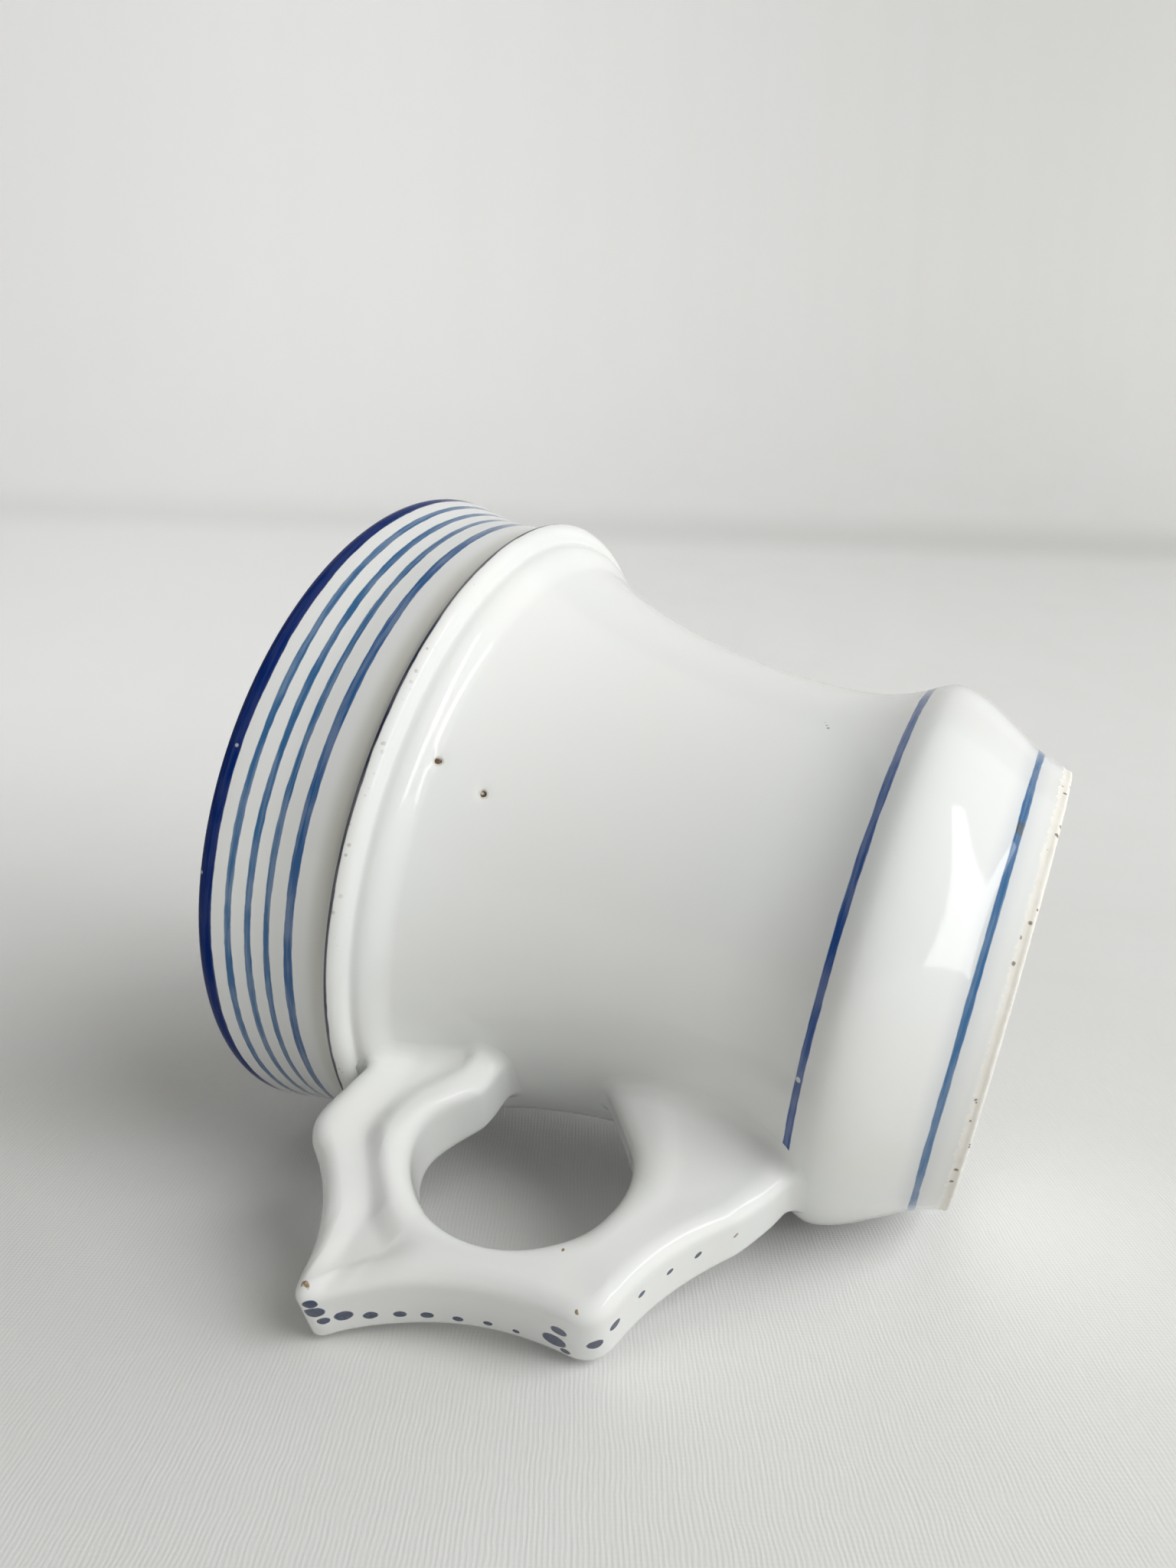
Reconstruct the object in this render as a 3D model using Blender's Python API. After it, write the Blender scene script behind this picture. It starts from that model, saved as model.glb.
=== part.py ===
# Brulot cup: a thick porcelain cup with a waisted body on a bulged foot, and a pierced, star-cornered
# handle that is moulded apart and luted to the wall with slip. Metres, +Z up, the cup stands on z = 0
# with its axis on Z and its handle along +X.
import math

import bmesh
import bpy
from mathutils import Vector
from mathutils.geometry import interpolate_bezier

# Cup, outside: heights are above the standing plane, radii from the cup's axis
CUP_HEIGHT = 0.0860
LIP_RADIUS = 0.0434
LIP_ROUND_OUT = 0.0016
LIP_ROUND_IN = 0.0024
LIP_PULL = Vector((-0.0005, -0.0030))
RIM_FLARE = 0.0015
RIM_RADIUS = LIP_RADIUS - RIM_FLARE
RIM_FLARE_HEIGHT = 0.0100
RIM_PULL = 0.0030
COVE_RADIUS = 0.0013
SHOULDER_HEIGHT = 0.0681
SHOULDER_LEDGE = 0.0015
SHOULDER_RADIUS = RIM_RADIUS + SHOULDER_LEDGE
SHOULDER_EDGE = 0.0006
BEAD_WIDTH = 0.0031
BEAD_DROP = 0.0027
BEAD_BULGE = 0.0005
WAIST_HEIGHT = 0.0281
WAIST_INSET = 0.0129
WAIST_RADIUS = LIP_RADIUS - WAIST_INSET
WAIST_PULL_UP = 0.0160
WAIST_PULL_DOWN = 0.0080
NECK_PULL = Vector((0.0063, 0.0062))
BULGE_HEIGHT = 0.0144
BULGE_SWELL = 0.0036
BULGE_RADIUS = WAIST_RADIUS + BULGE_SWELL
BULGE_PULL = 0.0032
FOOT_HEIGHT = 0.0039
FOOT_INSET = 0.0058
FOOT_RADIUS = BULGE_RADIUS - FOOT_INSET
FOOT_TAPER = 0.0006
FOOT_EDGE = 0.0005
FOOT_PULL = Vector((0.0020, 0.0025))

# Cup, inside and underneath
LIP_WALL = 0.0050
MOUTH_RADIUS = LIP_RADIUS - LIP_WALL
MOUTH_TAPER = 0.0010
MOUTH_DEPTH = 0.0140
BOWL_SHOULDER_PULL = 0.0060
WAIST_WALL = 0.0047
WELL_RADIUS = WAIST_RADIUS - WAIST_WALL
WELL_HEIGHT = 0.0240
WELL_PULL_UP = 0.0340
WELL_PULL_DOWN = 0.0110
FLOOR_HEIGHT = 0.0095
FLOOR_FLAT = 0.0140
FOOT_LAND = 0.0026
RECESS_DEPTH = 0.0026
RECESS_DRAFT = 0.0009

# Handle: a pierced plate in the XZ plane, whose corners are placed from the middle of the finger hole,
# and its top corner from the bead under the shoulder
HANDLE_THICKNESS = 0.0115
HOLE_RADIUS = 0.0118
HOLE_REACH = 0.0137
HOLE_HEIGHT = 0.0430
HOLE_CENTRE = Vector((WAIST_RADIUS + HOLE_REACH, HOLE_HEIGHT))
TOP_CORNER_REACH = 0.0074
TOP_CORNER_DROP = 0.0026
TOP_CORNER = Vector((HOLE_CENTRE.x + TOP_CORNER_REACH, SHOULDER_HEIGHT - TOP_CORNER_DROP))
OUTER_CORNER_REACH = 0.0246
OUTER_CORNER_RISE = 0.0129
OUTER_CORNER = HOLE_CENTRE + Vector((OUTER_CORNER_REACH, OUTER_CORNER_RISE))
LOWER_CORNER_REACH = 0.0146
LOWER_CORNER_DROP = 0.0153
LOWER_CORNER = HOLE_CENTRE + Vector((LOWER_CORNER_REACH, -LOWER_CORNER_DROP))
FOOT_CORNER_INSET = 0.0074
FOOT_CORNER_DROP = 0.0273
FOOT_CORNER = HOLE_CENTRE - Vector((FOOT_CORNER_INSET, FOOT_CORNER_DROP))
TOP_CORNER_TRIM = 0.0038
OUTER_CORNER_TRIM = 0.0036
LOWER_CORNER_TRIM = 0.0034
FOOT_CORNER_TRIM = 0.0030
TOP_SAG = 0.0021
OUTER_SAG = 0.0027
LOWER_SAG = 0.0013
HOLE_EDGE = 0.0025
OUTER_EDGE = 0.0018
BEAD_FALL = 0.0021
EDGE_RISE = 0.0040
DISH_DEPTH = 0.0012
DISH_START_WIDTH = 0.0060
DISH_FULL_WIDTH = 0.0110
ROOT_TURN = math.radians(168)
ROOT_DEPTH = 0.0030
ROOT_SWELL = 0.0014
ROOT_SWELL_TURN = math.radians(120)
ROOT_FLARE = 0.0016
ROOT_FLARE_REACH = 0.0050

# Joint between handle and wall
SLIP_THICKNESS = 0.0008
SLIP_PROUD = 0.0005
SEAT_GAP = 0.0003

# Facets
TURN_STEPS = 64
CURVE_POINTS = 7
CORNER_POINTS = 5

for thing in list(bpy.data.objects):
    bpy.data.objects.remove(thing, do_unlink=True)


def porcelain(name, colour, roughness):
    material = bpy.data.materials.new(name)
    material.use_nodes = True
    shader = material.node_tree.nodes["Principled BSDF"]
    shader.inputs["Base Color"].default_value = (*colour, 1.0)
    shader.inputs["Roughness"].default_value = roughness
    shader.inputs["Metallic"].default_value = 0.0
    return material


def curve(start, start_pull, end_pull, end, count):
    return interpolate_bezier(start, start + start_pull, end + end_pull, end, count)


def bow(start, control, end, count):
    return curve(start, (control - start) * 2 / 3, (control - end) * 2 / 3, end, count)


def joined(*stretches):
    chain = []
    for stretch in stretches:
        for point in stretch:
            point = Vector((point[0], point[1]))
            if not chain or (point - chain[-1]).length > 1e-6:
                chain.append(point)
    return chain


def waist_wall():
    # The wall that the handle meets, from the shoulder's edge down to the crease above the foot
    edge = Vector((SHOULDER_RADIUS, SHOULDER_HEIGHT - SHOULDER_EDGE))
    neck = Vector((SHOULDER_RADIUS - BEAD_WIDTH, SHOULDER_HEIGHT - BEAD_DROP))
    waist = Vector((WAIST_RADIUS, WAIST_HEIGHT))
    bulge = Vector((BULGE_RADIUS, BULGE_HEIGHT))
    crease = Vector((FOOT_RADIUS, FOOT_HEIGHT))
    out = Vector((edge.y - neck.y, neck.x - edge.x)).normalized() * BEAD_BULGE
    return joined(
        bow(edge, (edge + neck) / 2 + 2 * out, neck, 5),
        curve(neck, -NECK_PULL, Vector((0, WAIST_PULL_UP)), waist, 2 * CURVE_POINTS),
        curve(waist, Vector((0, -WAIST_PULL_DOWN)), Vector((0, BULGE_PULL)), bulge, CURVE_POINTS + 2),
        curve(bulge, Vector((0, -BULGE_PULL)), FOOT_PULL, crease, CURVE_POINTS),
    )


def cup_profile():
    # From the middle of the floor inside, up over the lip, down the outside and in under the foot
    floor = Vector((0, FLOOR_HEIGHT))
    well = Vector((WELL_RADIUS, WELL_HEIGHT))
    mouth_foot = Vector((MOUTH_RADIUS - MOUTH_TAPER, CUP_HEIGHT - MOUTH_DEPTH))
    lip_in = Vector((MOUTH_RADIUS, CUP_HEIGHT - LIP_ROUND_IN))
    lip_out = Vector((LIP_RADIUS, CUP_HEIGHT - LIP_ROUND_OUT))
    crown_in = Vector((MOUTH_RADIUS + LIP_ROUND_IN, CUP_HEIGHT))
    crown_out = Vector((LIP_RADIUS - LIP_ROUND_OUT, CUP_HEIGHT))
    rim = Vector((RIM_RADIUS, CUP_HEIGHT - RIM_FLARE_HEIGHT))
    cove_top = Vector((RIM_RADIUS, SHOULDER_HEIGHT + COVE_RADIUS))
    cove_end = Vector((SHOULDER_RADIUS - SHOULDER_EDGE, SHOULDER_HEIGHT))
    cove_corner = Vector((RIM_RADIUS, SHOULDER_HEIGHT))
    edge = Vector((SHOULDER_RADIUS, SHOULDER_HEIGHT - SHOULDER_EDGE))
    land_out = Vector((FOOT_RADIUS - FOOT_TAPER - FOOT_EDGE, 0))
    foot_side = Vector((FOOT_RADIUS - FOOT_TAPER, FOOT_EDGE))
    land_in = land_out - Vector((FOOT_LAND, 0))
    recess = land_in + Vector((-RECESS_DRAFT, RECESS_DEPTH))
    return joined(
        curve(floor, Vector((FLOOR_FLAT, 0)), Vector((0, -WELL_PULL_DOWN)), well, CURVE_POINTS + 1),
        curve(well, Vector((0, WELL_PULL_UP)), Vector((0, -BOWL_SHOULDER_PULL)), mouth_foot, CURVE_POINTS + 3),
        [lip_in],
        bow(lip_in, Vector((MOUTH_RADIUS, CUP_HEIGHT)), crown_in, 4),
        bow(crown_out, Vector((LIP_RADIUS, CUP_HEIGHT)), lip_out, 4),
        curve(lip_out, LIP_PULL, Vector((0, RIM_PULL)), rim, 4),
        bow(cove_top, cove_corner, cove_end, 4),
        bow(cove_end, Vector((SHOULDER_RADIUS, SHOULDER_HEIGHT)), edge, 3),
        waist_wall(),
        [foot_side, land_out, land_in, recess, Vector((0, RECESS_DEPTH))],
    )


def offset_wall(distance):
    # The waist wall moved outwards by a clearance, along its own normals
    wall = waist_wall()
    moved = []
    for place, point in enumerate(wall):
        along = wall[min(place + 1, len(wall) - 1)] - wall[max(place - 1, 0)]
        moved.append(point + Vector((-along.y, along.x)).normalized() * distance)
    return moved


def new_object(name, bm, material):
    bmesh.ops.recalc_face_normals(bm, faces=bm.faces)
    mesh = bpy.data.meshes.new(name)
    bm.to_mesh(mesh)
    bm.free()
    thing = bpy.data.objects.new(name, mesh)
    bpy.context.scene.collection.objects.link(thing)
    if material:
        mesh.materials.append(material)
    return thing


def turned(name, profile, material=None):
    # A solid of revolution: the profile starts and ends on the axis
    bm = bmesh.new()
    points = [bm.verts.new((point.x, 0, point.y)) for point in profile]
    edges = [bm.edges.new(pair) for pair in zip(points, points[1:])]
    bmesh.ops.spin(bm, geom=points + edges, cent=(0, 0, 0), axis=(0, 0, 1), angle=2 * math.pi,
                   steps=TURN_STEPS, use_merge=True)
    bmesh.ops.remove_doubles(bm, verts=bm.verts, dist=1e-6)
    return new_object(name, bm, material)


def wall_core(name, distance):
    # Everything inside the waist wall, grown by a clearance: it cuts what is luted to the wall
    wall = offset_wall(distance)
    core = turned(name, [Vector((0, wall[0].y)), *wall, Vector((0, wall[-1].y))])
    core.display_type = "WIRE"
    core.hide_render = True
    return core


def handle_outline():
    # From inside the wall above the finger hole, round the four corners, to inside the wall below it
    reach = HOLE_RADIUS + ROOT_DEPTH
    upper_end = HOLE_CENTRE + Vector((math.cos(ROOT_TURN), math.sin(ROOT_TURN))) * reach
    lower_end = HOLE_CENTRE + Vector((math.cos(ROOT_TURN), -math.sin(ROOT_TURN))) * reach
    upper_root = Vector((upper_end.x, TOP_CORNER.y))
    lower_root = Vector((lower_end.x, FOOT_CORNER.y))
    corners = [upper_end, upper_root, TOP_CORNER, OUTER_CORNER, LOWER_CORNER, FOOT_CORNER, lower_root, lower_end]
    sags = [0.0, 0.0, TOP_SAG, OUTER_SAG, LOWER_SAG, 0.0, 0.0]
    trims = [0.0, TOP_CORNER_TRIM, TOP_CORNER_TRIM, OUTER_CORNER_TRIM, LOWER_CORNER_TRIM, FOOT_CORNER_TRIM,
             FOOT_CORNER_TRIM, 0.0]
    controls = []
    for start, end, sag in zip(corners, corners[1:], sags):
        inward = Vector((end.y - start.y, start.x - end.x)).normalized()
        controls.append((start + end) / 2 + 2 * sag * inward)
    outline = []
    for side, control in enumerate(controls):
        start = corners[side] + (control - corners[side]).normalized() * trims[side]
        end = corners[side + 1] + (control - corners[side + 1]).normalized() * trims[side + 1]
        if side:
            outline.append(bow(outline[-1][-1], corners[side], start, CORNER_POINTS))
        outline.append(bow(start, control, end, CURVE_POINTS))
    return joined(*outline)


def wall_radius(height):
    # The waist wall's radius at a height, between the two points that lie above and below it
    wall = waist_wall()
    height = min(max(height, wall[-1].y), wall[0].y)
    for above, below in zip(wall, wall[1:]):
        if below.y <= height <= above.y:
            return below.x + (above.x - below.x) * (height - below.y) / max(above.y - below.y, 1e-9)
    return WAIST_RADIUS


def root_flare(spot):
    # How much each face of the plate spreads as it nears the wall
    clear = max(-ROOT_FLARE_REACH, spot.x - wall_radius(spot.y))
    return ROOT_FLARE * max(0.0, 1 - clear / ROOT_FLARE_REACH) ** 2


def hole_radius(ray):
    # The finger hole is round but for the thicker upper arm, which swells into it by the wall
    turn = math.atan2(ray.y, ray.x) - ROOT_SWELL_TURN
    return HOLE_RADIUS - ROOT_SWELL * max(0.0, math.cos(turn)) ** 8


def handle_section(width, proud):
    # A slice through the plate, from the finger hole outwards: bead, dish, raised edge, both faces alike
    half = HANDLE_THICKNESS / 2 + proud
    tight = min(1.0, width / (HOLE_EDGE + BEAD_FALL + EDGE_RISE + OUTER_EDGE))
    hole_edge = HOLE_EDGE * tight
    outer_edge = OUTER_EDGE * tight
    valley = hole_edge + BEAD_FALL * tight
    rise = width - outer_edge - EDGE_RISE * tight
    crest = width - outer_edge
    full = (width - DISH_START_WIDTH) / (DISH_FULL_WIDTH - DISH_START_WIDTH)
    dish = DISH_DEPTH * min(1.0, max(0.0, full))
    near = 1 - math.sqrt(0.5)
    side = [
        (-proud, half - HOLE_EDGE),
        (hole_edge * near - proud, half - HOLE_EDGE * near),
        (hole_edge, half),
        ((hole_edge + valley) / 2, half - dish / 2),
        (valley, half - dish),
        *((valley + (rise - valley) * step / 4, half - dish) for step in (1, 2, 3)),
        (rise, half - dish * 0.9),
        (crest, half),
        (width - outer_edge * near + proud, half - OUTER_EDGE * near),
        (width + proud, half - OUTER_EDGE),
    ]
    return side + [(across, -height) for across, height in reversed(side)]


def plate(name, outline, proud, material):
    # A loft of slices that stand radially round the finger hole, one for each point of the outline
    bm = bmesh.new()
    loops = []
    for point in outline:
        ray = (point - HOLE_CENTRE).normalized()
        inner = hole_radius(ray)
        verts = []
        for across, height in handle_section((point - HOLE_CENTRE).length - inner, proud):
            spot = HOLE_CENTRE + ray * (inner + across)
            height += math.copysign(root_flare(spot), height)
            verts.append(bm.verts.new((spot.x, height, spot.y)))
        loops.append([bm.edges.new(pair) for pair in zip(verts, verts[1:] + verts[:1])])
    for loop, following in zip(loops, loops[1:]):
        bmesh.ops.bridge_loops(bm, edges=loop + following)
    for end in (loops[0], loops[-1]):
        bmesh.ops.contextual_create(bm, geom=end)
    return new_object(name, bm, material)


def boolean(thing, operation, cutter):
    cut = thing.modifiers.new(operation.lower(), "BOOLEAN")
    cut.operation = operation
    cut.solver = "EXACT"
    cut.object = cutter


glaze = porcelain("white_glazed_porcelain", (0.83, 0.85, 0.85), 0.12)
handle_glaze = porcelain("handle_glazed_porcelain", (0.84, 0.86, 0.86), 0.12)
slip = porcelain("fired_slip", (0.80, 0.80, 0.78), 0.35)

slip_core = wall_core("slip_bed_cutter", SEAT_GAP)
bed_core = wall_core("slip_face_cutter", SEAT_GAP + SLIP_THICKNESS)
handle_core = wall_core("handle_root_cutter", 2 * SEAT_GAP + SLIP_THICKNESS)

cup_body = turned("cup_body", cup_profile(), glaze)

outline = handle_outline()
handle = plate("handle", outline, 0.0, handle_glaze)
boolean(handle, "DIFFERENCE", handle_core)

tip = max(range(len(outline)), key=lambda place: outline[place].x)
upper_run = outline[:tip]
lower_run = outline[tip:]
for name, run in (("upper_slip_joint", upper_run), ("lower_slip_joint", lower_run)):
    bed = plate(name, run, SLIP_PROUD, slip)
    boolean(bed, "INTERSECT", bed_core)
    boolean(bed, "DIFFERENCE", slip_core)
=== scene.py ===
import math

import bmesh
import bpy
from mathutils import Euler, Matrix, Vector, noise
from mathutils.geometry import interpolate_bezier


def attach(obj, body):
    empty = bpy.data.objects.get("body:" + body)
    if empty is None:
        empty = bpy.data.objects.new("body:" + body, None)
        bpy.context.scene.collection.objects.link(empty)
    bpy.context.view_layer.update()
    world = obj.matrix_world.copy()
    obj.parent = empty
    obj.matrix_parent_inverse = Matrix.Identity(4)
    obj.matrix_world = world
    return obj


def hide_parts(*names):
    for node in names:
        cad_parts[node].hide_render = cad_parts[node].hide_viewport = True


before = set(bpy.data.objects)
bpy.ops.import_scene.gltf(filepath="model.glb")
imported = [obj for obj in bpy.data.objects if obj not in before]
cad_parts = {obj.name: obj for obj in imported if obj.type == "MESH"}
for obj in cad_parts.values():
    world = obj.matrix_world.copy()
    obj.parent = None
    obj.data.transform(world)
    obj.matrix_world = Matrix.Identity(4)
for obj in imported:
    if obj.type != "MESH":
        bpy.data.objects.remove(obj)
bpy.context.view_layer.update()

mm = 0.001


# curves and meshes
def pulled(start, startPull, endPull, end, count):
    start, end = Vector(start), Vector(end)
    return interpolate_bezier(start, start + Vector(startPull), end + Vector(endPull), end, count)


def bowed(start, control, end, count):
    start, control, end = Vector(start), Vector(control), Vector(end)
    return pulled(start, (control - start) * 2 / 3, (control - end) * 2 / 3, end, count)


def chained(*stretches):
    chain = []
    for stretch in stretches:
        for point in stretch:
            if not chain or (Vector(point) - chain[-1]).length > 1e-6:
                chain.append(Vector(point))
    return chain


def softened(chain, middle, reach, passes):
    # rounds the corners of a chain near one of its points
    chain = [point.copy() for point in chain]
    near = [i for i in range(1, len(chain) - 1) if (chain[i] - Vector(middle)).length < reach]
    for turn in range(passes):
        moved = {i: (chain[i - 1] + 2 * chain[i] + chain[i + 1]) / 4 for i in near}
        for i in near:
            chain[i] = moved[i]
    return chain


def smoothStep(low, high, value):
    share = min(1.0, max(0.0, (value - low) / (high - low)))
    return share * share * (3 - 2 * share)


def finishMesh(name, bm, materials, recalculate=True):
    if recalculate:
        bmesh.ops.recalc_face_normals(bm, faces=bm.faces)
    for face in bm.faces:
        face.smooth = True
    mesh = bpy.data.meshes.new(name)
    bm.to_mesh(mesh)
    bm.free()
    for material in materials:
        mesh.materials.append(material)
    piece = bpy.data.objects.new(name, mesh)
    bpy.context.scene.collection.objects.link(piece)
    return piece


# the cup body, turned porcelain: heights above the standing plane and radii from the axis
cup = {
    "height": 0.0860, "lipRadius": 0.0434, "lipRoundOut": 0.0016, "lipRoundIn": 0.0024,
    "lipPull": (-0.0005, -0.0030), "rimRadius": 0.0419, "rimFlareHeight": 0.0100, "rimPull": 0.0030,
    "coveRadius": 0.0020, "covePull": 0.0020, "shoulderHeight": 0.0685, "shoulderRadius": 0.0431,
    "shoulderEdge": 0.0006, "beadWidth": 0.0022, "beadDrop": 0.0020, "beadBulge": 0.0005,
    "ridgeRise": 0.00062, "ridgeLength": 0.0048, "ridgeWay": (0.74, -0.67),
    "waistHeight": 0.0281, "waistRadius": 0.0304, "waistPullUp": 0.0160, "waistPullDown": 0.0092,
    "neckPull": (0.0060, 0.0063), "bulgeHeight": 0.0146, "bulgeRadius": 0.0339,
    "bulgePull": 0.0027, "bulgePullDown": 0.0030,
    "footHeight": 0.0039, "footRadius": 0.0283, "footTaper": 0.0012, "footEdge": 0.0005,
    "footPull": (0.0022, 0.0034), "footSidePull": (-0.0001, -0.0006), "footEdgePull": 0.0006,
    "mouthRadius": 0.0384, "mouthTaper": 0.0010, "mouthDepth": 0.0140,
    "mouthPullUp": 0.0040, "mouthPullDown": 0.0030, "bowlShoulderPull": 0.0060,
    "wellRadius": 0.0258, "wellHeight": 0.0240, "wellPullUp": 0.0340, "wellPullDown": 0.0110,
    "floorHeight": 0.0095, "floorFlat": 0.0140,
    "footLand": 0.0026, "recessDepth": 0.0026, "recessDraft": 0.0009, "recessRound": (0.0006, 0.0020),
    "groove": (0.0009, 5), "crease": (0.0010, 8), "landEdge": (0.0006, 3),     # softened: reach, passes
    "turnSteps": 232,
}
cupMarks = {
    "pits": (((0.02034, 0.03228, 0.06280), 0.00048), ((0.02019, 0.02908, 0.05765), 0.00040)),
    "pitDepth": 0.00030, "pitWidth": 1.1, "dimple": 0.00010, "dimpleWidth": 3.2,
    "pitPatch": 0.0026, "pitCuts": 4,
    "scratch": ((-0.0030, 0.0304, 0.0262), (-0.0035, 0.03035, 0.0265), (-0.0040, 0.0303, 0.0268)),
    "lineGap": (0.0008, 0.0016),                      # the bulge line stops short of the handle
    "lineBreak": ((0.03055, 0.01265, 0.01770), 0.00045),
    "footPatch": ((0.00266, 0.02808, 0.00380), 0.0010),
    "bareEdge": 0.00125,
    "wornHeight": 0.0008, "wornRadius": 0.0262, "wornIn": 0.00013, "wornInGrain": 700,
    "wornUp": 0.00012, "wornUpGrain": 1100,
}
# how the faces of the cup are told apart, and their places in its list of glazes
cupParts = {
    "insideSlot": 1, "bareSlot": 2, "lipSlot": 3,
    "stepMargin": 0.0010, "wallMargin": 0.0015, "heightMargin": 0.0005, "lipMargin": 0.0002,
    "standTilt": -0.3,
}


def waistWall():
    # from the shoulder's edge down to the crease above the foot
    edge = Vector((cup["shoulderRadius"], cup["shoulderHeight"] - cup["shoulderEdge"]))
    neck = Vector((cup["shoulderRadius"] - cup["beadWidth"], cup["shoulderHeight"] - cup["beadDrop"]))
    waist = Vector((cup["waistRadius"], cup["waistHeight"]))
    bulge = Vector((cup["bulgeRadius"], cup["bulgeHeight"]))
    crease = Vector((cup["footRadius"], cup["footHeight"]))
    out = Vector((edge.y - neck.y, neck.x - edge.x)).normalized() * cup["beadBulge"]
    flare = pulled(neck, -Vector(cup["neckPull"]), (0, cup["waistPullUp"]), waist, 150)
    for point in flare:      # the low ridge under the groove, highest a third of the way along
        share = min(1.0, (point - neck).length / cup["ridgeLength"])
        point += Vector(cup["ridgeWay"]) * cup["ridgeRise"] * share * (1 - share) ** 2 * 27 / 4
    wall = chained(
        bowed(edge, (edge + neck) / 2 + 2 * out, neck, 18),
        flare,
        pulled(waist, (0, -cup["waistPullDown"]), (0, cup["bulgePull"]), bulge, 48),
        pulled(bulge, (0, -cup["bulgePullDown"]), cup["footPull"], crease, 30),
    )
    return softened(wall, neck, *cup["groove"])


def cupProfile():
    # from the middle of the floor inside, over the lip, down the outside and in under the foot
    mouthFoot = Vector((cup["mouthRadius"] - cup["mouthTaper"], cup["height"] - cup["mouthDepth"]))
    well = Vector((cup["wellRadius"], cup["wellHeight"]))
    lipIn = Vector((cup["mouthRadius"], cup["height"] - cup["lipRoundIn"]))
    lipOut = Vector((cup["lipRadius"], cup["height"] - cup["lipRoundOut"]))
    crownIn = Vector((cup["mouthRadius"] + cup["lipRoundIn"], cup["height"]))
    crownOut = Vector((cup["lipRadius"] - cup["lipRoundOut"], cup["height"]))
    rim = Vector((cup["rimRadius"], cup["height"] - cup["rimFlareHeight"]))
    coveTop = Vector((cup["rimRadius"], cup["shoulderHeight"] + cup["coveRadius"]))
    coveEnd = Vector((cup["shoulderRadius"] - cup["shoulderEdge"], cup["shoulderHeight"]))
    coveCorner = Vector((cup["rimRadius"], cup["shoulderHeight"]))
    edgeCorner = Vector((cup["shoulderRadius"], cup["shoulderHeight"]))
    edge = Vector((cup["shoulderRadius"], cup["shoulderHeight"] - cup["shoulderEdge"]))
    footSide = Vector((cup["footRadius"] - cup["footTaper"], cup["footEdge"]))
    landOut = Vector((footSide.x - cup["footEdge"], 0))
    landIn = landOut - Vector((cup["footLand"], 0))
    recess = landIn + Vector((-cup["recessDraft"], cup["recessDepth"]))
    recessNear, recessFar = [Vector((recess.x - length, recess.y)) for length in cup["recessRound"]]
    wall = waistWall()
    chain = chained(
        pulled((0, cup["floorHeight"]), (cup["floorFlat"], 0), (0, -cup["wellPullDown"]), well, 24),
        pulled(well, (0, cup["wellPullUp"]), (0, -cup["bowlShoulderPull"]), mouthFoot, 40),
        pulled(mouthFoot, (0, cup["mouthPullUp"]), (0, -cup["mouthPullDown"]), lipIn, 12),
        bowed(lipIn, (cup["mouthRadius"], cup["height"]), crownIn, 9),
        bowed(crownOut, (cup["lipRadius"], cup["height"]), lipOut, 9),
        pulled(lipOut, cup["lipPull"], (0, cup["rimPull"]), rim, 14),
        pulled(rim, (0, -cup["covePull"]), (0, cup["covePull"]), coveTop, 8),
        bowed(coveTop, coveCorner, coveEnd, 9),
        bowed(coveEnd, edgeCorner, edge, 7),
        wall,
        pulled(wall[-1], cup["footSidePull"], (0, cup["footEdgePull"]), footSide, 10),
        bowed(footSide, (footSide.x, 0), landOut, 6),
        [landOut.lerp(landIn, 1 / 3), landOut.lerp(landIn, 2 / 3)],
        bowed(landIn, landIn.lerp(recess, 0.2), recess, 6),
        bowed(recess, recessNear, recessFar, 4),
        [Vector((recess.x * share, recess.y)) for share in (0.75, 0.5, 0.25, 0)],
    )
    chain = softened(chain, wall[-1], *cup["crease"])
    return softened(chain, landIn, *cup["landEdge"])


def wallTable(wall):
    # radius and slope of the waist wall at a height
    heights = [point.y for point in wall]

    def at(height):
        height = min(max(height, heights[-1]), heights[0])
        low, high = 0, len(wall) - 1
        while high - low > 1:
            middle = (low + high) // 2
            if heights[middle] >= height:
                low = middle
            else:
                high = middle
        share = (wall[low].y - height) / max(wall[low].y - wall[high].y, 1e-9)
        slope = (wall[low].x - wall[high].x) / max(wall[low].y - wall[high].y, 1e-9)
        return wall[low].x + (wall[high].x - wall[low].x) * share, slope

    return at


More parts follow.
